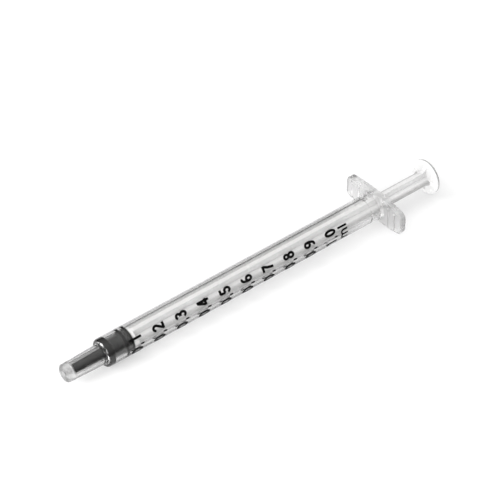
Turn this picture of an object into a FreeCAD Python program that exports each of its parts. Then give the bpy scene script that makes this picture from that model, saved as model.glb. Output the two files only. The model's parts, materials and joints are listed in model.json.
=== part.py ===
import FreeCAD, Part
import math
import os

# Fine-dosage syringe of 1 ml in three pieces: a clear barrel with a plain tapered nose,
# a rubber stopper whose pin fills the nose, and a plunger rod with cross vanes.
# All sizes are in millimetres. Every piece is drawn on the syringe's own axis: X runs from
# the nose to the thumb rest, and X = 0 is the front face of the barrel. At the end the
# whole syringe is laid down on the surface that it rests on, which is Z = 0.

# Barrel tube
BARREL_D = 6.25
BARREL_WALL = 0.745
BARREL_LENGTH = 71.85
SHOULDER_ROUND = 0.75
FRONT_WALL = 0.65
FRONT_CONE_DEPTH = 0.25

# Nose, with the 6 % taper that needles and tips are pushed on to
NOSE_LENGTH = 8.85
NOSE_TIP_D = 3.95
NOSE_TAPER = 0.06
NOSE_TIP_CHAMFER = 0.35
NOSE_TIP_SLANT = 0.15
ORIFICE_D = 1.1
ORIFICE_COUNTERSINK = 0.2

# Finger flange, ribbed on the side that the fingers pull
FLANGE_WIDTH = 18.0
FLANGE_HEIGHT = 6.8
FLANGE_BULGE = 0.8
FLANGE_CORNER_ROUND = 1.8
FLANGE_THICKNESS = 1.7
FLANGE_EDGE_CHAMFER = 0.3
FLANGE_ROOT_CHAMFER = 0.5
RIB_WIDTH = 0.6
RIB_HEIGHT = 0.3
RIB_EDGE_ROUND = 0.2
RIB_PITCH = 2.05
RIB_FIRST = 4.85
RIBS_PER_WING = 2
RIB_MARGIN = 0.65

# Rear mouth of the bore, with the bead that keeps the stopper in
MOUTH_D = 5.5
MOUTH_LENGTH = 3.3
BEAD_HEIGHT = 0.09
BEAD_WIDTH = 1.1
BEAD_SETBACK = 3.9

# Stopper
FRONT_RING_WIDTH = 1.2
RING_CHAMFER = 0.12
WAIST_D = 4.15
WAIST_LENGTH = 2.8
WAIST_SLOPE = 0.2
REAR_LIP_WIDTH = 0.75
REAR_GROOVE_WIDTH = 0.55
REAR_GROOVE_DEPTH = 0.2
SEAL_CLEARANCE = 0.02
FRONT_CLEARANCE = 0.05
PIN_REACH = 6.8
PIN_BASE_D = 2.4
PIN_TIP_D = 1.95
PIN_TIP_CHAMFER = 0.15
PIN_CLEARANCE = 0.4
PIN_END_GAP = 0.3

# Plunger rod
HEAD_D = 2.4
HEAD_TIP_D = 1.4
HEAD_LENGTH = 2.0
HEAD_SEAT_LENGTH = 0.5
NECK_D = 1.6
NECK_LENGTH = 1.3
SNAP_CLEARANCE = 0.04
SUPPORT_D = 4.3
SUPPORT_THICKNESS = 0.8
SUPPORT_EDGE_CHAMFER = 0.15
VANE_SPAN = 4.0
VANE_THICKNESS = 0.9
VANE_EDGE_ROUND = 0.12
EXPOSED_ROD = 13.15

# Thumb rest
THUMB_D = 8.1
THUMB_THICKNESS = 1.15
THUMB_EDGE_CHAMFER = 0.3
THUMB_DISH_DEPTH = 0.2
THUMB_DISH_MARGIN = 0.9
THUMB_FLARE = 1.2
THUMB_FLARE_STEP = 0.35

AXIS = FreeCAD.Vector(1, 0, 0)
ORIGIN = FreeCAD.Vector(0, 0, 0)

# Values that follow from the sizes above
BARREL_R = BARREL_D / 2
BORE_R = BARREL_R - BARREL_WALL
FLANGE_REAR = BARREL_LENGTH + FLANGE_THICKNESS
NOSE_ROOT_R = (NOSE_TIP_D + NOSE_TAPER * NOSE_LENGTH) / 2
CONE_TOP = FRONT_WALL - FRONT_CONE_DEPTH
PIN_END = -PIN_REACH
NOSE_BORE_END = PIN_END - PIN_END_GAP
SEAL_R = BORE_R - SEAL_CLEARANCE
STOPPER_FRONT = FRONT_WALL + FRONT_CLEARANCE
WAIST_START = STOPPER_FRONT + FRONT_RING_WIDTH
WAIST_END = WAIST_START + WAIST_LENGTH
GROOVE_START = WAIST_END + REAR_LIP_WIDTH
GROOVE_END = GROOVE_START + REAR_GROOVE_WIDTH
STOPPER_REAR = GROOVE_END + REAR_LIP_WIDTH
HEAD_SEAT = STOPPER_REAR - NECK_LENGTH
VANE_R = VANE_SPAN / 2
THUMB_FRONT = FLANGE_REAR + EXPOSED_ROD
THUMB_REAR = THUMB_FRONT + THUMB_THICKNESS
FLANGE_END_Z = FLANGE_HEIGHT / 2 - FLANGE_BULGE
FLANGE_SIDE_R = ((FLANGE_WIDTH / 2) ** 2 + FLANGE_BULGE ** 2) / (2 * FLANGE_BULGE)


class Outline:
    """Outline in the half plane above the axis, drawn corner by corner and then turned."""

    def __init__(self, x, r):
        self.start = FreeCAD.Vector(x, 0, r)
        self.last = self.start
        self.edges = []

    def line(self, x, r):
        """Straight to x along the axis and r away from it."""
        corner = FreeCAD.Vector(x, 0, r)
        self.edges.append(Part.LineSegment(self.last, corner).toShape())
        self.last = corner
        return self

    def arc(self, centre_x, centre_r, x, r):
        """Quarter round or less about a centre, to x and r, on its short side."""
        centre = FreeCAD.Vector(centre_x, 0, centre_r)
        corner = FreeCAD.Vector(x, 0, r)
        outward = (self.last - centre) + (corner - centre)
        middle = centre + outward.normalize() * (corner - centre).Length
        self.edges.append(Part.Arc(self.last, middle, corner).toShape())
        self.last = corner
        return self

    def turned(self):
        """Closes the outline and turns it once round the axis."""
        self.edges.append(Part.LineSegment(self.last, self.start).toShape())
        return Part.Face(Part.Wire(self.edges)).revolve(ORIGIN, AXIS, 360)


def pin_radius(x):
    """Radius of the stopper's tapered pin at x."""
    share = (x - PIN_END) / (CONE_TOP - PIN_END)
    return (PIN_TIP_D + share * (PIN_BASE_D - PIN_TIP_D)) / 2


def flange_half_height(y):
    """Half height of the flange's outline at y, between its rounded corners."""
    return FLANGE_HEIGHT / 2 - FLANGE_SIDE_R + math.sqrt(FLANGE_SIDE_R ** 2 - y ** 2)


def flange_prism(start, end):
    """Block with the flange's outline: bulging long sides, straight ends, round corners."""
    end_y = FLANGE_WIDTH / 2
    rim = [(-end_y, FLANGE_END_Z), (0, FLANGE_HEIGHT / 2), (end_y, FLANGE_END_Z)]
    rim += [(-y, -z) for y, z in rim]
    points = [FreeCAD.Vector(start, y, z) for y, z in rim]
    edges = [
        Part.Arc(*points[:3]).toShape(),
        Part.LineSegment(points[2], points[3]).toShape(),
        Part.Arc(*points[3:]).toShape(),
        Part.LineSegment(points[5], points[0]).toShape(),
    ]
    block = Part.Face(Part.Wire(edges)).extrude(AXIS * (end - start))
    corners = [e for e in block.Edges if e.BoundBox.XLength > (end - start) / 2]
    return block.makeFillet(FLANGE_CORNER_ROUND, corners)


def finger_rib(y):
    """Upright rib on the flange's front face, which follows the outline at its ends."""
    half = flange_half_height(abs(y) + RIB_WIDTH / 2) - RIB_MARGIN
    root = FLANGE_THICKNESS / 2
    corner = FreeCAD.Vector(BARREL_LENGTH - RIB_HEIGHT, y - RIB_WIDTH / 2, -half)
    rib = Part.makeBox(RIB_HEIGHT + root, RIB_WIDTH, 2 * half, corner)
    front = [e for e in rib.Edges if e.BoundBox.XMax < BARREL_LENGTH - RIB_HEIGHT / 2]
    return rib.makeFillet(RIB_EDGE_ROUND, front)


def flange():
    """Finger flange with its eased edges, its ribs and the cone at its root."""
    plate = flange_prism(BARREL_LENGTH, FLANGE_REAR)
    rim = [e for e in plate.Edges if e.BoundBox.XLength < FLANGE_THICKNESS / 2]
    plate = plate.makeChamfer(FLANGE_EDGE_CHAMFER, rim)
    root_front = BARREL_LENGTH - FLANGE_ROOT_CHAMFER
    root_rear = BARREL_LENGTH + FLANGE_THICKNESS / 2
    root_inner = BARREL_R - BARREL_WALL / 2
    root = Outline(root_front, root_inner)
    root.line(root_front, BARREL_R)
    root.line(BARREL_LENGTH, BARREL_R + FLANGE_ROOT_CHAMFER)
    root.line(root_rear, BARREL_R + FLANGE_ROOT_CHAMFER)
    root.line(root_rear, root_inner)
    pieces = [root.turned().common(flange_prism(root_front, FLANGE_REAR))]
    for i in range(RIBS_PER_WING):
        offset = RIB_FIRST + i * RIB_PITCH
        pieces += [finger_rib(offset), finger_rib(-offset)]
    return plate.multiFuse(pieces)


def barrel_outside():
    """Tapered nose and tube, solid all through."""
    tip_r = NOSE_TIP_D / 2
    body = Outline(-NOSE_LENGTH, 0)
    body.line(-NOSE_LENGTH, tip_r - NOSE_TIP_CHAMFER)
    body.line(-NOSE_LENGTH + NOSE_TIP_SLANT, tip_r - NOSE_TIP_SLANT)
    body.line(-NOSE_LENGTH + NOSE_TIP_CHAMFER, tip_r)
    body.line(0, NOSE_ROOT_R)
    body.line(0, BARREL_R - SHOULDER_ROUND)
    body.arc(SHOULDER_ROUND, BARREL_R - SHOULDER_ROUND, SHOULDER_ROUND, BARREL_R)
    body.line(FLANGE_REAR, BARREL_R)
    body.line(FLANGE_REAR, 0)
    return body.turned()


def barrel_inside():
    """Space inside the barrel: orifice, nose bore, main bore, bead and open mouth."""
    orifice_r = ORIFICE_D / 2
    bead_x = FLANGE_REAR - BEAD_SETBACK
    bead_r = BORE_R - BEAD_HEIGHT
    past_tip = -NOSE_LENGTH - ORIFICE_COUNTERSINK
    past_rear = FLANGE_REAR + MOUTH_LENGTH
    space = Outline(past_tip, 0)
    space.line(past_tip, orifice_r + 2 * ORIFICE_COUNTERSINK)
    space.line(-NOSE_LENGTH + ORIFICE_COUNTERSINK, orifice_r)
    space.line(NOSE_BORE_END, orifice_r)
    space.line(NOSE_BORE_END, pin_radius(NOSE_BORE_END) + PIN_CLEARANCE)
    space.line(CONE_TOP, pin_radius(CONE_TOP) + PIN_CLEARANCE)
    space.line(FRONT_WALL, BORE_R)
    space.line(bead_x - BEAD_WIDTH / 2, BORE_R)
    space.line(bead_x - BEAD_WIDTH / 6, bead_r)
    space.line(bead_x + BEAD_WIDTH / 6, bead_r)
    space.line(bead_x + BEAD_WIDTH / 2, BORE_R)
    space.line(FLANGE_REAR - MOUTH_LENGTH, BORE_R)
    space.line(FLANGE_REAR, MOUTH_D / 2)
    space.line(past_rear, MOUTH_D / 2)
    space.line(past_rear, 0)
    return space.turned()


def barrel():
    """Clear barrel with nose, shoulder, bore and finger flange, moulded as one piece."""
    return barrel_outside().fuse(flange()).removeSplitter().cut(barrel_inside())


def head_outline(clearance):
    """Arrow head and neck of the rod, or the socket for them, larger by a clearance."""
    tip_x = HEAD_SEAT - HEAD_LENGTH - clearance
    head = Outline(tip_x, 0)
    head.line(tip_x, HEAD_TIP_D / 2 + clearance)
    head.line(HEAD_SEAT - HEAD_SEAT_LENGTH - clearance, HEAD_D / 2 + clearance)
    head.line(HEAD_SEAT + clearance, HEAD_D / 2 + clearance)
    head.line(HEAD_SEAT + clearance, NECK_D / 2 + clearance)
    return head


def stopper():
    """Rubber stopper: nose pin, front seal ring, waist, two rear seal lips, socket behind."""
    nose_x = CONE_TOP + FRONT_CLEARANCE
    tip_r = pin_radius(PIN_END + PIN_TIP_CHAMFER)
    ring_r = SEAL_R - RING_CHAMFER
    groove_r = SEAL_R - REAR_GROOVE_DEPTH
    body = Outline(PIN_END, 0)
    body.line(PIN_END, tip_r - PIN_TIP_CHAMFER)
    body.line(PIN_END + PIN_TIP_CHAMFER, tip_r)
    body.line(nose_x, pin_radius(nose_x))
    body.line(STOPPER_FRONT, ring_r)
    body.line(STOPPER_FRONT + RING_CHAMFER, SEAL_R)
    body.line(WAIST_START - RING_CHAMFER, SEAL_R)
    body.line(WAIST_START, ring_r)
    body.line(WAIST_START + WAIST_SLOPE, WAIST_D / 2)
    body.line(WAIST_END - WAIST_SLOPE, WAIST_D / 2)
    body.line(WAIST_END, ring_r)
    body.line(WAIST_END + RING_CHAMFER, SEAL_R)
    body.line(GROOVE_START - RING_CHAMFER, SEAL_R)
    body.line(GROOVE_START, groove_r)
    body.line(GROOVE_END, groove_r)
    body.line(GROOVE_END + RING_CHAMFER, SEAL_R)
    body.line(STOPPER_REAR - RING_CHAMFER, SEAL_R)
    body.line(STOPPER_REAR, ring_r)
    body.line(STOPPER_REAR, 0)
    socket = head_outline(SNAP_CLEARANCE)
    past_rear = STOPPER_REAR + NECK_LENGTH
    socket.line(past_rear, NECK_D / 2 + SNAP_CLEARANCE)
    socket.line(past_rear, 0)
    return body.turned().cut(socket.turned())


def vanes(start):
    """Cross-shaped vanes from start to the thumb rest, flared where they meet it."""
    flare_r = VANE_R + THUMB_FLARE
    envelope = Outline(start, 0)
    envelope.line(start, VANE_R)
    envelope.line(THUMB_FRONT - THUMB_FLARE, VANE_R)
    envelope.line(THUMB_FRONT - THUMB_FLARE_STEP, VANE_R + THUMB_FLARE_STEP)
    envelope.line(THUMB_FRONT, flare_r)
    envelope.line(THUMB_FRONT, 0)
    length = THUMB_FRONT - start
    half = VANE_THICKNESS / 2
    upright_corner = FreeCAD.Vector(start, -half, -flare_r)
    level_corner = FreeCAD.Vector(start, -flare_r, -half)
    upright = Part.makeBox(length, VANE_THICKNESS, 2 * flare_r, upright_corner)
    level = Part.makeBox(length, 2 * flare_r, VANE_THICKNESS, level_corner)
    cross = upright.fuse(level).removeSplitter().common(envelope.turned())
    long_edges = []
    for edge in cross.Edges:
        box = edge.BoundBox
        outer = max(abs(box.YMin), abs(box.YMax), abs(box.ZMin), abs(box.ZMax)) > VANE_R * 0.9
        if outer and box.XLength > length / 2:
            long_edges.append(edge)
    return cross.makeFillet(VANE_EDGE_ROUND, long_edges)


def thumb_rest():
    """Round thumb rest with eased edges and a shallow dish on the side that is pushed."""
    edge = THUMB_EDGE_CHAMFER
    radius = THUMB_D / 2
    dish_r = radius - THUMB_DISH_MARGIN
    rest = Outline(THUMB_FRONT, 0)
    rest.line(THUMB_FRONT, radius - edge)
    rest.line(THUMB_FRONT + edge, radius)
    rest.line(THUMB_REAR - edge, radius)
    rest.line(THUMB_REAR, radius - edge)
    rest.line(THUMB_REAR, dish_r)
    rest.line(THUMB_REAR - THUMB_DISH_DEPTH, dish_r - THUMB_DISH_DEPTH)
    rest.line(THUMB_REAR - THUMB_DISH_DEPTH, 0)
    return rest.turned()


def plunger_rod():
    """Plunger rod: arrow head, neck, support disc, cross vanes and thumb rest in one."""
    edge = SUPPORT_EDGE_CHAMFER
    support_r = SUPPORT_D / 2
    support_rear = STOPPER_REAR + SUPPORT_THICKNESS
    front = head_outline(0)
    front.line(STOPPER_REAR, NECK_D / 2)
    front.line(STOPPER_REAR, support_r - edge)
    front.line(STOPPER_REAR + edge, support_r)
    front.line(support_rear, support_r)
    front.line(support_rear, 0)
    return front.turned().multiFuse([vanes(support_rear), thumb_rest()]).removeSplitter()


def lay_down(pieces):
    """Lays the syringe on Z = 0, centred on the origin, with its shoulder touching."""
    touching = [
        (BARREL_LENGTH + FLANGE_EDGE_CHAMFER, FLANGE_HEIGHT / 2),
        (THUMB_FRONT + THUMB_EDGE_CHAMFER, THUMB_D / 2),
    ]
    slope = max((r - BARREL_R) / (x - SHOULDER_ROUND) for x, r in touching)
    angle = math.atan(slope)
    lift = BARREL_R * math.cos(angle) - SHOULDER_ROUND * math.sin(angle)
    for piece in pieces.values():
        piece.rotate(ORIGIN, FreeCAD.Vector(0, 1, 0), -math.degrees(angle))
    boxes = [piece.optimalBoundingBox() for piece in pieces.values()]
    middle = (min(box.XMin for box in boxes) + max(box.XMax for box in boxes)) / 2
    for piece in pieces.values():
        piece.translate(FreeCAD.Vector(-middle, 0, lift))


def main():
    """Makes every piece, lays the syringe down and writes one STEP file per piece."""
    pieces = {"barrel": barrel(), "stopper": stopper(), "plunger_rod": plunger_rod()}
    lay_down(pieces)
    os.makedirs("parts", exist_ok=True)
    for name, piece in pieces.items():
        solids = piece.Solids
        if len(solids) != 1 or not solids[0].isValid():
            raise ValueError(name + " is not one valid solid")
        solids[0].exportStep("parts/" + name + ".step")


main()
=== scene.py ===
"""Looks of a fine-dosage syringe: clear barrel, black stopper, plunger rod and printed scale."""

import json
import logging
import math
from collections.abc import Callable
from dataclasses import dataclass, field
from enum import Enum

import bmesh
import bpy
from mathutils import Matrix, Vector


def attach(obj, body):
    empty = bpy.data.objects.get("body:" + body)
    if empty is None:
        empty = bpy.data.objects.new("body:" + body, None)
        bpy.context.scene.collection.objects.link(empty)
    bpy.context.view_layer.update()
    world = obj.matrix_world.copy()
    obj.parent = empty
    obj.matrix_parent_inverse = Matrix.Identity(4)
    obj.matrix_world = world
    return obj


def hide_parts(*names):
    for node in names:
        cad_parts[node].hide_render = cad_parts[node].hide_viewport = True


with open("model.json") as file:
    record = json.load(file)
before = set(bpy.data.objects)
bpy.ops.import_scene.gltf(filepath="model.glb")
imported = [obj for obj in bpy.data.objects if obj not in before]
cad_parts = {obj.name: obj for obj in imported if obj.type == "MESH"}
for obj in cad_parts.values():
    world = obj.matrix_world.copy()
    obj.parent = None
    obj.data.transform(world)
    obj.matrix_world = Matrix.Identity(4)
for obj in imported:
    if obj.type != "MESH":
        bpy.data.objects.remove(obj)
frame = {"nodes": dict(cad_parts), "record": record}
log = logging.getLogger("syringe")

Colour = tuple[float, float, float]
Profile = list[tuple[float, float]]
Placing = Callable[[Vector], tuple[float, float]]

# Noise seldom leaves this middle range of its values, so patterns are spread over it.
PATTERN_LOW = 0.3
PATTERN_HIGH = 0.7


class NodeBoard:
    """Node tree of one material, with short calls to place and join its nodes."""

    def __init__(self, name: str) -> None:
        """Starts a material with an empty node tree and its output.

        Args:
            name: Name of the material.
        """
        self.material = bpy.data.materials.new(name)
        self.material.use_nodes = True
        self.tree = self.material.node_tree
        self.tree.nodes.clear()
        self.output = self.tree.nodes.new("ShaderNodeOutputMaterial")

    def add(self, kind: str, **inputs: object) -> bpy.types.Node:
        """Adds a node.

        Args:
            kind: Blender's name for the node.
            **inputs: Values of its sockets, with underscores for spaces.

        Returns:
            The new node.
        """
        node = self.tree.nodes.new(kind)
        for socket, value in inputs.items():
            node.inputs[socket.replace("_", " ")].default_value = value
        return node

    def join(self, source: bpy.types.NodeSocket, target: bpy.types.NodeSocket) -> None:
        """Joins one node's output to another node's input."""
        self.tree.links.new(source, target)

    def noise(self, per_metre: float, detail: float = 2.0) -> bpy.types.NodeSocket:
        """Adds a noise pattern that is fixed to the piece.

        Args:
            per_metre: How many times the pattern repeats in a metre.
            detail: How many finer layers it has.

        Returns:
            The pattern's value, from 0 to 1.
        """
        place = self.add("ShaderNodeTexCoord")
        pattern = self.add("ShaderNodeTexNoise", Scale=per_metre, Detail=detail)
        self.join(place.outputs["Object"], pattern.inputs["Vector"])
        return pattern.outputs["Fac"]

    def beyond(self, start: float, end: float) -> bpy.types.NodeSocket:
        """Finds how far a place lies past a cross-section of the syringe.

        Args:
            start: Where the change begins, along the table's x.
            end: Where it is complete.

        Returns:
            A value that runs from 0 to 1.
        """
        place = self.add("ShaderNodeTexCoord")
        split = self.add("ShaderNodeSeparateXYZ")
        ramp = self.add("ShaderNodeMapRange", From_Min=start, From_Max=end)
        self.join(place.outputs["Object"], split.inputs["Vector"])
        self.join(split.outputs["X"], ramp.inputs["Value"])
        return ramp.outputs["Result"]

    def sum(self, *values: bpy.types.NodeSocket) -> bpy.types.NodeSocket:
        """Adds values up.

        Args:
            *values: The values.

        Returns:
            Their sum.
        """
        total = values[0]
        for value in values[1:]:
            node = self.add("ShaderNodeMath")
            self.join(total, node.inputs[0])
            self.join(value, node.inputs[1])
            total = node.outputs["Value"]
        return total

    def spread(self, share: bpy.types.NodeSocket, none: float, full: float) -> bpy.types.NodeSocket:
        """Turns a share from 0 to 1 into a number between two numbers."""
        node = self.add("ShaderNodeMapRange", To_Min=none, To_Max=full)
        self.join(share, node.inputs["Value"])
        return node.outputs["Result"]

    def turned_away(self, start: float, end: float, depth: float) -> bpy.types.NodeSocket:
        """Finds how far the surface turns away from the eye.

        Args:
            start: Turn at which the value begins, where 0 is square on and 1 is edge on.
            end: Turn at which it is full.
            depth: Its full size.

        Returns:
            A value that runs from 0 to depth.
        """
        facing = self.add("ShaderNodeLayerWeight", Blend=0.5)
        turned = self.add("ShaderNodeMapRange", From_Min=start, From_Max=end, To_Max=depth)
        self.join(facing.outputs["Facing"], turned.inputs["Value"])
        return turned.outputs["Result"]

    def away_from(self, line: tuple[Vector, Vector], start: float, end: float) -> bpy.types.NodeSocket:
        """Finds how far a place lies away from a line.

        Args:
            line: A point on the line and the line's direction.
            start: Distance at which the value begins.
            end: Distance at which it is complete.

        Returns:
            A value that runs from 0 to 1.
        """
        place = self.add("ShaderNodeTexCoord")
        offset, across, length = (self.add("ShaderNodeVectorMath") for _ in range(3))
        offset.operation, across.operation, length.operation = "SUBTRACT", "CROSS_PRODUCT", "LENGTH"
        offset.inputs[1].default_value, across.inputs[1].default_value = line
        self.join(place.outputs["Object"], offset.inputs[0])
        self.join(offset.outputs["Vector"], across.inputs[0])
        self.join(across.outputs["Vector"], length.inputs[0])
        ramp = self.add("ShaderNodeMapRange", From_Min=start, From_Max=end)
        self.join(length.outputs["Value"], ramp.inputs["Value"])
        return ramp.outputs["Result"]

    def beside(self, start: float, end: float) -> bpy.types.NodeSocket:
        """Finds how far a place lies to either side of the syringe's middle plane.

        Args:
            start: Distance at which the value begins.
            end: Distance at which it is complete.

        Returns:
            A value that runs from 0 to 1.
        """
        place = self.add("ShaderNodeTexCoord")
        split = self.add("ShaderNodeSeparateXYZ")
        side = self.add("ShaderNodeMath")
        side.operation = "ABSOLUTE"
        self.join(place.outputs["Object"], split.inputs["Vector"])
        self.join(split.outputs["Y"], side.inputs[0])
        ramp = self.add("ShaderNodeMapRange", From_Min=start, From_Max=end)
        self.join(side.outputs["Value"], ramp.inputs["Value"])
        return ramp.outputs["Result"]

    def times(self, first: bpy.types.NodeSocket, second: bpy.types.NodeSocket) -> bpy.types.NodeSocket:
        """Multiplies two values."""
        node = self.add("ShaderNodeMath")
        node.operation = "MULTIPLY"
        self.join(first, node.inputs[0])
        self.join(second, node.inputs[1])
        return node.outputs["Value"]

    def darken(self, colour: bpy.types.NodeSocket, share: bpy.types.NodeSocket) -> bpy.types.NodeSocket:
        """Takes a share from 0 to 1 away from a colour."""
        mix = self.add("ShaderNodeMix")
        mix.data_type = "RGBA"
        mix.inputs[7].default_value = (0.0, 0.0, 0.0, 1.0)
        self.join(share, mix.inputs[0])
        self.join(colour, mix.inputs[6])
        return mix.outputs[2]

    def between(self, value: bpy.types.NodeSocket, low: float, high: float) -> bpy.types.NodeSocket:
        """Spreads a pattern's middle range over a range of numbers.

        Args:
            value: The pattern's value.
            low: Result where the pattern is dark.
            high: Result where it is light.

        Returns:
            The spread value.
        """
        span = {"From_Min": PATTERN_LOW, "From_Max": PATTERN_HIGH}
        node = self.add("ShaderNodeMapRange", To_Min=low, To_Max=high, **span)
        self.join(value, node.inputs["Value"])
        return node.outputs["Result"]

    def tint(self, value: bpy.types.NodeSocket, dark: Colour, light: Colour) -> bpy.types.NodeSocket:
        """Turns a pattern into a colour between two colours.

        Args:
            value: The pattern's value.
            dark: Colour where the pattern is dark.
            light: Colour where it is light.

        Returns:
            The colour.
        """
        ramp = self.add("ShaderNodeValToRGB")
        ramp.color_ramp.elements[0].position = PATTERN_LOW
        ramp.color_ramp.elements[0].color = (*dark, 1.0)
        ramp.color_ramp.elements[1].position = PATTERN_HIGH
        ramp.color_ramp.elements[1].color = (*light, 1.0)
        self.join(value, ramp.inputs["Fac"])
        return ramp.outputs["Color"]

    def let_light_in(self, surface: bpy.types.NodeSocket, tint: bpy.types.NodeSocket) -> bpy.types.NodeSocket:
        """Lets light that comes from lamps and from other surfaces fall straight through.

        Args:
            surface: The surface as it is seen.
            tint: Share of the light that comes through.

        Returns:
            The surface with that light let in.
        """
        ray = self.add("ShaderNodeLightPath")
        straight = self.add("ShaderNodeMath")
        straight.operation = "MAXIMUM"
        self.join(ray.outputs["Is Shadow Ray"], straight.inputs[0])
        self.join(ray.outputs["Is Diffuse Ray"], straight.inputs[1])
        opening = self.add("ShaderNodeBsdfTransparent")
        self.join(tint, opening.inputs["Color"])
        either = self.add("ShaderNodeMixShader")
        self.join(straight.outputs["Value"], either.inputs["Fac"])
        self.join(surface, either.inputs[1])
        self.join(opening.outputs["BSDF"], either.inputs[2])
        return either.outputs["Shader"]

    def bump(self, height: bpy.types.NodeSocket, strength: float, depth: float) -> bpy.types.NodeSocket:
        """Turns a pattern into a fine relief.

        Args:
            height: The pattern's value.
            strength: Share of the relief that shows.
            depth: Full depth in metres.

        Returns:
            The surface direction for the shader.
        """
        node = self.add("ShaderNodeBump", Strength=strength, Distance=depth)
        self.join(height, node.inputs["Height"])
        return node.outputs["Normal"]


@dataclass(frozen=True)
class Haze:
    """What makes a stretch of clear plastic look less clear.

    It adds roughness, shades the colour, holds back light that falls through, and takes away
    some of the rim, the darker tone that clear plastic is given where it is seen at a slant, which
    is partly painted shade.
    """

    roughness: float = 0.0
    shade: float = 0.0
    holds_back: float = 0.0
    frees_rim: float = 0.0


@dataclass(frozen=True)
class Frost:
    """Haze on a stretch of a piece, which begins at one x and is complete at another."""

    start: float
    end: float
    haze: Haze


@dataclass(frozen=True)
class EdgeTone:
    """Painted shade on a translucent piece at its outer edges, between two places along x.

    The edges lie away from a line, or beside the middle plane where there is no line.
    """

    line: tuple[Vector, Vector] | None
    inner: float
    outer: float
    start: float
    end: float
    depth: float
    fade: float = 0.0002

    def share(self, board: NodeBoard) -> bpy.types.NodeSocket:
        """Finds how much painted shade each place gets.

        Args:
            board: The board that its nodes are placed on.

        Returns:
            A value that runs from 0 to the shade's depth.
        """
        span = board.times(
            board.beyond(self.start, self.start + self.fade),
            board.beyond(self.end, self.end - self.fade),
        )
        reach = (self.inner, self.outer)
        out = board.away_from(self.line, *reach) if self.line else board.beside(*reach)
        return board.spread(board.times(span, out), 0.0, self.depth)


@dataclass(frozen=True)
class Finish:
    """Surface of one material: its colours, its gloss and its fine relief.

    Sizes and depths are in metres. A clear finish has a rim, a darker tone where it is seen at a
    slant, and the limb, seen edge on, clears again. The rim is partly the longer path through the
    plastic and partly painted shade for the shadowed table and dark room seen through the wall.
    Light falls straight through a finish that passes some.
    """

    name: str
    dark: Colour
    light: Colour
    smooth: float
    rough: float
    patch_per_metre: float
    grain_per_metre: float
    grain_depth: float
    grain_layers: float = 3.0
    transmission: float = 0.0
    refraction: float = 1.5
    specular: float = 0.5
    subsurface: float = 0.0
    subsurface_reach: float = 0.0016
    relief_shown: float = 0.5
    passes: float = 0.0
    glow: float = 0.0
    # Rim, partly painted shade, with the turns where it begins and where the limb clears it.
    rim: float = 0.0
    rim_turn: tuple[float, float] = (0.29, 0.64)
    limb_turn: tuple[float, float] = (0.55, 0.75)
    limb_clears: float = 0.0

    def rim_share(self, board: NodeBoard, frosted: tuple[Frost, ...]) -> bpy.types.NodeSocket:
        """Finds how much darker a clear finish is where it is seen at a slant, partly as painted shade.

        Args:
            board: The board that its nodes are placed on.
            frosted: The stretches that free it of some of that painted shade.

        Returns:
            A value that runs from 0 to the rim's depth.
        """
        rim = board.times(
            board.turned_away(*self.rim_turn, self.rim),
            board.spread(board.turned_away(*self.limb_turn, 1.0), 1.0, 1.0 - self.limb_clears),
        )
        for frost in frosted:
            share = board.beyond(frost.start, frost.end)
            rim = board.times(rim, board.spread(share, 1.0, 1.0 - frost.haze.frees_rim))
        return rim

    def material(
        self, frosted: tuple[Frost, ...] = (), edges: tuple[EdgeTone, ...] = ()
    ) -> bpy.types.Material:
        """Makes the material.

        Args:
            frosted: The less clear stretches of a clear piece.
            edges: The painted shade at the outer edges of a translucent piece.

        Returns:
            The material, with its colour, roughness and relief from nodes.
        """
        board = NodeBoard(self.name)
        shader = board.add(
            "ShaderNodeBsdfPrincipled",
            Metallic=0.0,
            IOR=self.refraction,
            Transmission_Weight=self.transmission,
            Specular_IOR_Level=self.specular,
            Subsurface_Weight=self.subsurface,
            Subsurface_Radius=(self.subsurface_reach,) * 3,
            Emission_Color=(1.0, 1.0, 1.0, 1.0),
            Emission_Strength=self.glow,
        )
        patches = board.noise(self.patch_per_metre)
        grain = board.noise(self.grain_per_metre, self.grain_layers)
        colour = board.tint(patches, self.dark, self.light)
        # Rim: darker at a slant, partly painted shade for the shadowed table and dark room seen through.
        if self.rim:
            colour = board.darken(colour, self.rim_share(board, frosted))
        # Painted shade at the outer edges of a translucent piece.
        for edge in edges:
            colour = board.darken(colour, edge.share(board))
        gloss = [board.between(grain, self.smooth, self.rough)]
        through = board.tint(patches, (self.passes,) * 3, (self.passes,) * 3)
        for frost in frosted:
            share = board.beyond(frost.start, frost.end)
            gloss.append(board.spread(share, 0.0, frost.haze.roughness))
            colour = board.darken(colour, board.spread(share, 0.0, frost.haze.shade))
            through = board.darken(through, board.spread(share, 0.0, frost.haze.holds_back))
        board.join(colour, shader.inputs["Base Color"])
        board.join(board.sum(*gloss), shader.inputs["Roughness"])
        relief = board.bump(grain, self.relief_shown, self.grain_depth)
        board.join(relief, shader.inputs["Normal"])
        surface = shader.outputs["BSDF"]
        if self.passes:
            surface = board.let_light_in(surface, through)
        board.join(surface, board.output.inputs["Surface"])
        return board.material


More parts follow.
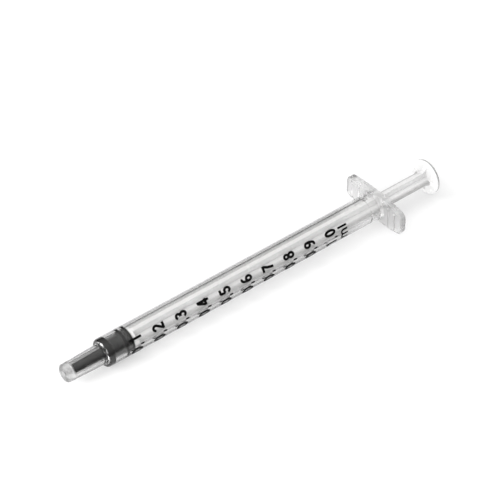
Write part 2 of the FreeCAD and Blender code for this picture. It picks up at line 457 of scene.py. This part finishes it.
CLEAR_PLASTIC = Finish(
    "clear_moulded_plastic",
    dark=(0.93, 0.927, 0.925),
    light=(0.965, 0.962, 0.96),
    smooth=0.06,
    rough=0.1,
    patch_per_metre=120.0,
    grain_per_metre=420.0,
    grain_depth=0.000003,
    transmission=1.0,
    refraction=1.49,
    passes=0.985,
    # Rim at a slant, partly painted shade, cleared by half at the limb.
    rim=0.95,
    limb_clears=0.5,
)
NATURAL_PLASTIC = Finish(
    "natural_moulded_plastic",
    dark=(0.90, 0.895, 0.89),
    light=(0.95, 0.945, 0.94),
    smooth=0.2,
    rough=0.3,
    patch_per_metre=150.0,
    grain_per_metre=700.0,
    grain_depth=0.000006,
    refraction=1.49,
    subsurface=0.8,
    passes=0.7,
)
BLACK_RUBBER = Finish(
    "black_stopper_rubber",
    dark=(0.009, 0.0085, 0.008),
    light=(0.016, 0.0155, 0.015),
    smooth=0.32,
    rough=0.46,
    patch_per_metre=300.0,
    grain_per_metre=2600.0,
    grain_depth=0.00001,
    specular=0.2,
)
PRINTING_INK = Finish(
    "black_printing_ink",
    dark=(0.002, 0.002, 0.002),
    light=(0.005, 0.005, 0.005),
    smooth=0.42,
    rough=0.6,
    patch_per_metre=900.0,
    grain_per_metre=6000.0,
    grain_depth=0.000004,
    specular=0.08,
)
TABLE_TOP = Finish(
    "pale_table_top",
    dark=(0.74, 0.74, 0.74),
    light=(0.76, 0.76, 0.76),
    smooth=0.75,
    rough=0.9,
    patch_per_metre=3.0,
    grain_per_metre=40.0,
    grain_depth=0.0002,
    specular=0.1,
    glow=0.26,
)


@dataclass(frozen=True)
class SyringeAxis:
    """The syringe's own axis: x runs from the barrel's front face to the thumb rest."""

    front: Vector
    along: Vector
    up: Vector
    across: Vector

    @classmethod
    def from_record(cls, record: dict, nose_length: float) -> "SyringeAxis":
        """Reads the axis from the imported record.

        Args:
            record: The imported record, with the nose's mount and the plunger's slide.
            nose_length: From the nose's end to the barrel's front face, in metres.

        Returns:
            The axis, as it lies on the table.
        """
        nose = next(m for m in record["mounts"] if m["name"] == "luer_nose")
        along = Vector(record["behaviour"]["joints"][0]["axis"]).normalized()
        across = Vector((0.0, 1.0, 0.0))
        front = Vector(nose["pos_m"]) + along * nose_length
        return cls(front, along, along.cross(across), across)

    def point(self, x: float, radius: float = 0.0, angle: float = 0.0) -> Vector:
        """Finds a place on or round the axis.

        Args:
            x: Distance behind the barrel's front face.
            radius: Distance from the axis.
            angle: In radians from the top towards the side that is seen.

        Returns:
            The place in the row frame.
        """
        out = self.up * math.cos(angle) - self.across * math.sin(angle)
        return self.front + self.along * x + out * radius

    def place(self, x: float, y: float, z: float) -> Vector:
        """Place at x along the axis, y across it and z above it."""
        return self.front + self.along * x + self.across * y + self.up * z


def shown_piece(name: str, mesh: bmesh.types.BMesh, finish: bpy.types.Material) -> bpy.types.Object:
    """Makes a smooth-shaded piece from a finished mesh.

    Args:
        name: Name of the piece.
        mesh: Its mesh, in the row frame, which is freed.
        finish: Its material.

    Returns:
        The new object, linked to the scene.
    """
    data = bpy.data.meshes.new(name)
    mesh.to_mesh(data)
    mesh.free()
    data.materials.append(finish)
    piece = bpy.data.objects.new(name, data)
    bpy.context.scene.collection.objects.link(piece)
    return piece


def rounded(corners: list[tuple[float, float, float]], steps: int = 6) -> Profile:
    """Rounds the corners of a profile.

    Args:
        corners: Each corner's x, its radius from the axis and its rounding.
        steps: Points on each rounding.

    Returns:
        The profile's points in order.
    """
    points: Profile = []
    for i, (x, r, rounding) in enumerate(corners):
        if rounding <= 0.0 or i in (0, len(corners) - 1):
            points.append((x, r))
            continue
        here = Vector((x, r))
        before = Vector(corners[i - 1][:2]) - here
        after = Vector(corners[i + 1][:2]) - here
        half = before.angle(after) / 2
        reach = min(rounding / math.tan(half), before.length * 0.49, after.length * 0.49)
        start = here + before.normalized() * reach
        end = here + after.normalized() * reach
        for k in range(steps + 1):
            t = k / steps
            p = start.lerp(here, t).lerp(here.lerp(end, t), t)
            points.append((p.x, p.y))
    return points


def lathe(axis: SyringeAxis, profile: Profile, around: int) -> bmesh.types.BMesh:
    """Turns a profile round the axis into a closed mesh.

    Args:
        axis: The syringe's axis.
        profile: Points of the profile, which starts and ends on the axis.
        around: Faces round the axis.

    Returns:
        The mesh.
    """
    mesh = bmesh.new()
    rings = []
    for x, r in profile:
        if r < 1e-7:
            rings.append([mesh.verts.new(axis.point(x))])
        else:
            rings.append([mesh.verts.new(axis.point(x, r, math.tau * k / around)) for k in range(around)])
    for a, b in zip(rings, rings[1:]):
        for k in range(around):
            n = (k + 1) % around
            loop = [a[k % len(a)], a[n % len(a)], b[n % len(b)], b[k % len(b)]]
            mesh.faces.new(list(dict.fromkeys(loop)))
    bmesh.ops.recalc_face_normals(mesh, faces=mesh.faces)
    return mesh


def soften(mesh: bmesh.types.BMesh, sharp_angle: float = math.radians(32)) -> None:
    """Shades a mesh smoothly, but keeps its real edges crisp."""
    for face in mesh.faces:
        face.smooth = True
    for edge in mesh.edges:
        edge.smooth = len(edge.link_faces) == 2 and edge.calc_face_angle() < sharp_angle


class Graduation(Enum):
    """How far a line of the scale reaches round the barrel, in degrees."""

    HUNDREDTH = 14.0
    HALF_TENTH = 20.0
    TENTH = 27.0


def bow(
    centre_x: float, centre_y: float, reach_x: float, reach_y: float, start: float, end: float
) -> Profile:
    """Draws part of an oval.

    Args:
        centre_x: Middle of the oval, from the left.
        centre_y: Middle of the oval, from the foot.
        reach_x: Half its width.
        reach_y: Half its height.
        start: Where it starts, in degrees from the right, turning left.
        end: Where it ends.

    Returns:
        Points along it.
    """
    steps = max(2, round(abs(end - start) / 9))
    turns = [math.radians(start + (end - start) * k / steps) for k in range(steps + 1)]
    return [(centre_x + reach_x * math.cos(a), centre_y + reach_y * math.sin(a)) for a in turns]


@dataclass(frozen=True)
class Sign:
    """One printed sign: the lines that a pen draws, on a body that is one high."""

    strokes: tuple[Profile, ...]
    pen: float = 0.205

    def turned(self, width: float) -> "Sign":
        """The same sign upside down."""
        return Sign(tuple([(width - x, 1 - y) for x, y in line] for line in self.strokes), self.pen)

    def flat(self) -> bmesh.types.BMesh:
        """Draws the sign.

        Returns:
            Its flat mesh, which is freed by the caller.
        """
        mesh = bmesh.new()
        for line in self.strokes:
            points = [Vector(p) for p in line]
            closed = (points[0] - points[-1]).length < 1e-6
            pairs = []
            for i, here in enumerate(points):
                before = here - points[i - 1] if i else Vector((0, 0))
                after = points[i + 1] - here if i + 1 < len(points) else Vector((0, 0))
                if closed and i in (0, len(points) - 1):
                    before, after = points[-1] - points[-2], points[1] - points[0]
                way = (before.normalized() + after.normalized()).normalized()
                lean = max(0.6, way.dot((after if after.length else before).normalized()))
                out = Vector((-way.y, way.x)) * self.pen / 2 / lean
                pairs.append([mesh.verts.new((*(here + out), 0)), mesh.verts.new((*(here - out), 0))])
            for a, b in zip(pairs, pairs[1:]):
                mesh.faces.new([a[0], a[1], b[1], b[0]])
        bmesh.ops.remove_doubles(mesh, verts=mesh.verts, dist=1e-5)
        return mesh


SIX = Sign((bow(0.27, 0.30, 0.185, 0.215, 0, 360), bow(0.31, 0.40, 0.225, 0.515, 180, 62)))
SIGNS = {
    "0": Sign((bow(0.27, 0.5, 0.185, 0.415, 0, 360),)),
    "1": Sign(([(0.33, 0.0), (0.33, 1.0)], [(0.33, 0.88), (0.24, 0.78), (0.10, 0.72)])),
    "2": Sign(([*bow(0.27, 0.70, 0.185, 0.215, 172, -32), (0.10, 0.12)], [(0.0, 0.086), (0.54, 0.086)])),
    "3": Sign((
        [*bow(0.26, 0.735, 0.165, 0.18, 160, -72), (0.20, 0.545)],
        [(0.20, 0.535), *bow(0.27, 0.30, 0.185, 0.215, 75, -165)],
    )),
    "4": Sign((
        [(0.38, 0.0), (0.38, 1.0)],
        [(0.0, 0.29), (0.54, 0.29)],
        [(0.345, 0.93), (0.07, 0.31)],
    )),
    "5": Sign((
        [(0.10, 0.914), (0.49, 0.914)],
        [(0.135, 0.95), (0.085, 0.50)],
        bow(0.26, 0.31, 0.195, 0.225, 140, -165),
    )),
    "6": SIX,
    "7": Sign(([(0.02, 0.914), (0.52, 0.914)], [(0.46, 0.88), (0.31, 0.55), (0.20, 0.0)])),
    "8": Sign((bow(0.27, 0.735, 0.165, 0.18, 0, 360), bow(0.27, 0.295, 0.185, 0.21, 0, 360))),
    "9": SIX.turned(0.54),
    ",": Sign(([(0.5, 1.0), (0.5, 0.45), (0.25, 0.0)],), pen=0.8),
    "m": Sign((
        [(0.11, 0.0), (0.11, 1.0)],
        [*bow(0.375, 0.62, 0.265, 0.27, 160, 0), (0.64, 0.0)],
        [*bow(0.905, 0.62, 0.265, 0.27, 160, 0), (1.17, 0.0)],
    ), pen=0.22),
    "l": Sign(([(0.1, 0.0), (0.1, 1.0)],), pen=0.2),
}


@dataclass
class PrintedScale:
    """Black scale on the barrel: a line for each 0.01 ml, numbers for each 0.1 ml, and ml."""

    zero: float = 0.00133
    tenth: float = 0.005625
    surface: float = 0.003125
    film: float = 0.000008
    sunk: float = 0.00001
    line_width: float = 0.00016
    lines_from: float = 130.0
    digit_height: float = 0.0029
    digit_behind_line: float = 0.00144
    digit_edges: tuple[float, float] = (40.0, 68.5)
    one_edges: tuple[float, float] = (45.0, 62.0)
    lead_edges: tuple[float, float] = (90.0, 121.0)
    lead_one_edges: tuple[float, float] = (96.0, 113.0)
    comma_edges: tuple[float, float] = (77.0, 86.0)
    comma_height: float = 0.001
    comma_drop: float = 0.00045
    unit_height: float = 0.0024
    m_height: float = 0.00178
    m_edges: tuple[float, float] = (63.0, 110.0)
    l_edges: tuple[float, float] = (47.5, 56.0)
    unit_baseline: float = 0.06205
    strip: float = 0.00012
    line_steps: int = 8

    def wrap(
        self,
        ink: bmesh.types.BMesh,
        axis: SyringeAxis,
        flat: bmesh.types.BMesh,
        baseline: float,
        height: float,
        edges: tuple[float, float],
    ) -> None:
        """Fits a flat sign to its place and lays it round the barrel.

        Args:
            ink: The print's mesh, which the sign is added to.
            axis: The syringe's axis.
            flat: The sign, which is freed.
            baseline: Where the sign stands along the axis.
            height: Its height, towards the nose.
            edges: Its right and left edges in degrees round the barrel.
        """
        xs = [v.co.x for v in flat.verts]
        ys = [v.co.y for v in flat.verts]
        right, left = (math.radians(a) for a in edges)
        low, high = min(xs), max(xs)
        tall = height / (max(ys) - min(ys))
        wide = (left - right) * self.surface / (high - low)
        base = min(ys)
        for v in flat.verts:
            v.co = Vector(((v.co.x - low) * wide, (v.co.y - base) * tall, 0.0))
        for k in range(1, int((high - low) * wide / self.strip) + 1):
            parts = [*flat.verts, *flat.edges, *flat.faces]
            bmesh.ops.bisect_plane(flat, geom=parts, plane_co=(k * self.strip, 0, 0), plane_no=(1, 0, 0))
        self.lay(ink, axis, flat, lambda p: (baseline - p.y, left - p.x / self.surface))
        flat.free()

    def lay(
        self, ink: bmesh.types.BMesh, axis: SyringeAxis, flat: bmesh.types.BMesh, where: Placing
    ) -> None:
        """Adds a flat shape to the print as a thin film with a top, an underside and edges.

        Args:
            ink: The print's mesh.
            axis: The syringe's axis.
            flat: The shape in its own plane.
            where: Gives x along the axis and the angle round it for a point of the shape.
        """
        top, under = {}, {}
        for v in flat.verts:
            x, angle = where(v.co)
            top[v] = ink.verts.new(axis.point(x, self.surface + self.film, angle))
            under[v] = ink.verts.new(axis.point(x, self.surface - self.sunk, angle))
        for face in flat.faces:
            ink.faces.new([top[v] for v in face.verts])
            ink.faces.new([under[v] for v in reversed(face.verts)])
        for edge in flat.edges:
            if len(edge.link_faces) == 1:
                a, b = edge.verts
                ink.faces.new([top[a], under[a], under[b], top[b]])

    def line(self, ink: bmesh.types.BMesh, axis: SyringeAxis, x: float, reach: Graduation) -> None:
        """Adds one line of the scale.

        Args:
            ink: The print's mesh.
            axis: The syringe's axis.
            x: Where the line is along the axis.
            reach: How far it goes round the barrel.
        """
        steps = self.line_steps
        flat = bmesh.new()
        rows = [
            [flat.verts.new((side * self.line_width / 2, k / steps, 0)) for side in (-1, 1)]
            for k in range(steps + 1)
        ]
        for a, b in zip(rows, rows[1:]):
            flat.faces.new([a[0], a[1], b[1], b[0]])
        start, span = math.radians(self.lines_from), math.radians(reach.value)
        self.lay(ink, axis, flat, lambda p: (x + p.x, start + p.y * span))
        flat.free()

    def build(self, axis: SyringeAxis) -> bpy.types.Object:
        """Prints the whole scale.

        Args:
            axis: The syringe's axis.

        Returns:
            The print, which rides on the barrel.
        """
        ink = bmesh.new()
        for step in range(101):
            reach = Graduation.HUNDREDTH
            if step % 10 == 0:
                reach = Graduation.TENTH
            elif step % 5 == 0:
                reach = Graduation.HALF_TENTH
            self.line(ink, axis, self.zero + step * self.tenth / 10, reach)
        for tenth in range(1, 11):
            baseline = self.zero + tenth * self.tenth + self.digit_behind_line
            whole, part = divmod(tenth, 10)
            last_edges = self.one_edges if part == 1 else self.digit_edges
            whole_edges = self.lead_one_edges if whole == 1 else self.lead_edges
            self.wrap(ink, axis, SIGNS[str(part)].flat(), baseline, self.digit_height, last_edges)
            self.wrap(ink, axis, SIGNS[str(whole)].flat(), baseline, self.digit_height, whole_edges)
            foot = baseline + self.comma_drop
            self.wrap(ink, axis, SIGNS[","].flat(), foot, self.comma_height, self.comma_edges)
        self.wrap(ink, axis, SIGNS["m"].flat(), self.unit_baseline, self.m_height, self.m_edges)
        self.wrap(ink, axis, SIGNS["l"].flat(), self.unit_baseline, self.unit_height, self.l_edges)
        bmesh.ops.recalc_face_normals(ink, faces=ink.faces)
        piece = shown_piece("printed_scale", ink, PRINTING_INK.material())
        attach(piece, "barrel")
        return piece


@dataclass
class Barrel:
    """Clear barrel, with the scale printed round it. Its places are metres behind its front face."""

    nose_length: float = 0.00885
    flange_front: float = 0.0712
    solid_tip: float = -0.0072
    mouth: tuple[float, float] = (0.0625, 0.0675)
    nose_fade: float = 0.0006
    tip_fade: float = 0.0004
    flange_fade: float = 0.0003
    nose_haze: Haze = Haze(roughness=0.04, shade=0.08)
    # The frosted tip and the mouth lose part of the rim's painted shade.
    tip_haze: Haze = Haze(roughness=0.5, shade=0.2, holds_back=0.02, frees_rim=0.8)
    mouth_haze: Haze = Haze(frees_rim=0.6)
    flange_haze: Haze = Haze(roughness=0.2, shade=0.03, holds_back=0.14)
    scale: PrintedScale = field(default_factory=PrintedScale)

    def dress(self, axis: SyringeAxis) -> list[bpy.types.Object]:
        """Gives the barrel its clear plastic and its print.

        Args:
            axis: The syringe's axis.

        Returns:
            The barrel and its print.
        """
        node = frame["nodes"]["barrel"]
        node.data.materials.clear()
        front, tip, flange = (axis.point(x).x for x in (0.0, self.solid_tip, self.flange_front))
        mouth_start, mouth_end = (axis.point(x).x for x in self.mouth)
        frosted = (
            Frost(front, front - self.nose_fade, self.nose_haze),
            Frost(tip + self.tip_fade, tip - self.tip_fade, self.tip_haze),
            Frost(mouth_start, mouth_end, self.mouth_haze),
            Frost(flange - self.flange_fade, flange + self.flange_fade, self.flange_haze),
        )
        node.data.materials.append(CLEAR_PLASTIC.material(frosted))
        return [node, self.scale.build(axis)]


@dataclass
class Stopper:
    """Rubber stopper, whose rings lie against the wall of the bore."""

    front: float = 0.0007
    pin_end: float = -0.0068
    pin_tip_radius: float = 0.000975
    pin_base_radius: float = 0.0012
    pin_base: float = 0.00045
    ring_radius: float = 0.0024
    front_ring: float = 0.0012
    waist_radius: float = 0.002075
    waist_length: float = 0.0028
    waist_slope: float = 0.0002
    lip_width: float = 0.00075
    groove_width: float = 0.00055
    groove_depth: float = 0.0002
    rounding: float = 0.00012
    groove_rounding: float = 0.000084
    pin_tip_rounding: float = 0.0002
    pin_base_rounding: float = 0.0003
    socket_radius: float = 0.00124
    socket_depth: float = 0.00334
    mouth_radius: float = 0.00084
    mouth_depth: float = 0.0013
    socket_end_radius: float = 0.000744
    sides: int = 128

    def profile(self) -> Profile:
        """Outline of the stopper.

        Returns:
            Points from the pin's end round to the bottom of the socket.
        """
        r, soft, fine = self.ring_radius, self.rounding, self.groove_rounding
        waist = self.front + self.front_ring
        lips = waist + self.waist_length
        groove = lips + self.lip_width
        last_lip = groove + self.groove_width
        rear = last_lip + self.lip_width
        corners = [
            (self.pin_end, 0.0, 0.0),
            (self.pin_end, self.pin_tip_radius, self.pin_tip_rounding),
            (self.pin_base, self.pin_base_radius, self.pin_base_rounding),
            (self.front, r, soft),
            (waist, r, soft),
            (waist + self.waist_slope, self.waist_radius, soft),
            (lips - self.waist_slope, self.waist_radius, soft),
            (lips, r, soft),
            (groove - soft, r, fine),
            (groove, r - self.groove_depth, fine),
            (last_lip, r - self.groove_depth, fine),
            (last_lip + soft, r, fine),
            (rear, r, soft),
            (rear, self.mouth_radius, soft),
            (rear - self.mouth_depth, self.mouth_radius, 0.0),
            (rear - self.mouth_depth, self.socket_radius, 0.0),
            (rear - self.socket_depth, self.socket_end_radius, 0.0),
            (rear - self.socket_depth, 0.0, 0.0),
        ]
        return rounded(corners)

    def build(self, axis: SyringeAxis) -> bpy.types.Object:
        """Makes the stopper.

        Args:
            axis: The syringe's axis.

        Returns:
            The stopper, which rides on the plunger.
        """
        mesh = lathe(axis, self.profile(), self.sides)
        soften(mesh)
        piece = shown_piece("rubber_stopper", mesh, BLACK_RUBBER.material())
        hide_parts("stopper")
        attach(piece, "plunger")
        return piece


@dataclass
class PlungerRod:
    """Plunger rod with its cross vanes and thumb rest.

    The tones are painted shade on the outer edges of the vanes, more so at the level vane, and
    of the thumb rest.
    """

    finish: Finish = NATURAL_PLASTIC
    vanes: tuple[float, float] = (0.008, 0.0864)
    vane_edge: tuple[float, float] = (0.0012, 0.002)
    vane_tone: float = 0.14
    # Depths of the painted shade on the vane edges and on the thumb rest's rim.
    level_vane_tone: float = 0.38
    rim: tuple[float, float] = (0.0872, 0.0885)
    rim_edge: tuple[float, float] = (0.0037, 0.0039)
    rim_tone: float = 0.65

    def dress(self, axis: SyringeAxis) -> bpy.types.Object:
        """Gives the rod its plastic, with painted shade on the edges of its vanes and its thumb rest.

        Args:
            axis: The syringe's axis.

        Returns:
            The rod.
        """
        middle = (axis.front, axis.along)
        vanes, rim = ([axis.point(x).x for x in span] for span in (self.vanes, self.rim))
        # Painted shade on the vane edges, stronger on the level vane, and on the thumb rest's rim.
        edges = (
            EdgeTone(middle, *self.vane_edge, *vanes, self.vane_tone),
            EdgeTone(None, *self.vane_edge, *vanes, self.level_vane_tone),
            EdgeTone(middle, *self.rim_edge, *rim, self.rim_tone),
        )
        node = frame["nodes"]["plunger_rod"]
        node.data.materials.clear()
        node.data.materials.append(self.finish.material(edges=edges))
        return node


@dataclass
class Studio:
    """Pale table, soft lights and the camera."""

    table_size: float = 4.0
    camera_place: tuple[float, float, float] = (-0.136944, -0.223944, 0.274720)
    camera_target: tuple[float, float, float] = (0.0421795, 0.005333, 0.0000706)
    camera_roll: float = 0.00214
    lens: float = 136.33
    sensor: float = 36.0
    clip_start: float = 0.01
    room_light: float = 1.0
    room_steps: tuple[tuple[float, float], ...] = ((0.14, 0.07), (0.8, 0.5), (0.4, 0.33))
    key_place: tuple[float, float, float] = (-0.75, 0.55, 0.85)
    key_size: float = 0.8
    key_power: float = 7.0
    fill_place: tuple[float, float, float] = (-0.7, -0.55, 0.5)
    fill_size: float = 0.6
    fill_power: float = 6.0

    def lay_table(self) -> bpy.types.Object:
        """Makes the table top that the syringe lies on.

        Returns:
            The table top, which isn't part of the syringe.
        """
        mesh = bmesh.new()
        bmesh.ops.create_grid(mesh, x_segments=8, y_segments=8, size=self.table_size / 2)
        table = shown_piece("table_top", mesh, TABLE_TOP.material())
        return table

    def light(self, name: str, place: Vector, target: Vector, size: float, power: float) -> None:
        """Hangs a square soft light.

        Args:
            name: Name of the light.
            place: Where it hangs.
            target: What it points at.
            size: Length of its sides.
            power: Its power in watts.
        """
        lamp = bpy.data.lights.new(name, "AREA")
        lamp.size = size
        lamp.energy = power
        holder = bpy.data.objects.new(name, lamp)
        holder.location = place
        holder.rotation_euler = (target - place).to_track_quat("-Z", "Y").to_euler()
        bpy.context.scene.collection.objects.link(holder)

    def light_room(self) -> None:
        """Sets the soft light of the room, bright overhead and grey at the horizon."""
        world = bpy.data.worlds.new("studio_room")
        bpy.context.scene.world = world
        world.use_nodes = True
        tree = world.node_tree
        place = tree.nodes.new("ShaderNodeTexCoord")
        split = tree.nodes.new("ShaderNodeSeparateXYZ")
        ramp = tree.nodes.new("ShaderNodeValToRGB")
        stops = ramp.color_ramp.elements
        for stop, (height, share) in zip((*stops, stops.new(0.5)), self.room_steps):
            stop.position, stop.color = height, (share,) * 3 + (1.0,)
        tree.links.new(place.outputs["Generated"], split.inputs["Vector"])
        tree.links.new(split.outputs["Z"], ramp.inputs["Fac"])
        tree.links.new(ramp.outputs["Color"], tree.nodes["Background"].inputs["Color"])
        tree.nodes["Background"].inputs["Strength"].default_value = self.room_light
        middle = Vector((0, 0, 0))
        self.light("key_light", Vector(self.key_place), middle, self.key_size, self.key_power)
        self.light("fill_light", Vector(self.fill_place), middle, self.fill_size, self.fill_power)
        bpy.context.scene.view_settings.view_transform = "Standard"

    def set_camera(self, axis: SyringeAxis) -> bpy.types.Object:
        """Sets the camera where the picture was taken from.

        Args:
            axis: The syringe's axis.

        Returns:
            The camera.
        """
        data = bpy.data.cameras.new("camera")
        data.lens = self.lens
        data.sensor_width = self.sensor
        data.clip_start = self.clip_start
        camera = bpy.data.objects.new("camera", data)
        bpy.context.scene.collection.objects.link(camera)
        place = axis.place(*self.camera_place)
        back = (place - axis.place(*self.camera_target)).normalized()
        level = axis.up.cross(back).normalized()
        right = (level - back.cross(level) * self.camera_roll).normalized()
        turn = Matrix((right, back.cross(right), back)).transposed()
        camera.matrix_world = Matrix.Translation(place) @ turn.to_4x4()
        bpy.context.scene.camera = camera
        return camera


def main() -> None:
    """Builds and dresses the syringe and sets up the studio."""
    logging.basicConfig(level=logging.INFO, format="%(name)s: %(message)s")
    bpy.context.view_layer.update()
    barrel = Barrel()
    axis = SyringeAxis.from_record(frame["record"], barrel.nose_length)
    studio = Studio()
    studio.set_camera(axis)
    for piece in barrel.dress(axis):
        log.info("%s is dressed", piece.name)
    log.info("%s is built", Stopper().build(axis).name)
    log.info("%s is dressed", PlungerRod().dress(axis).name)
    log.info("%s is laid", studio.lay_table().name)
    studio.light_room()
    log.info("sizes are noted")


if __name__ == "__main__":
    main()
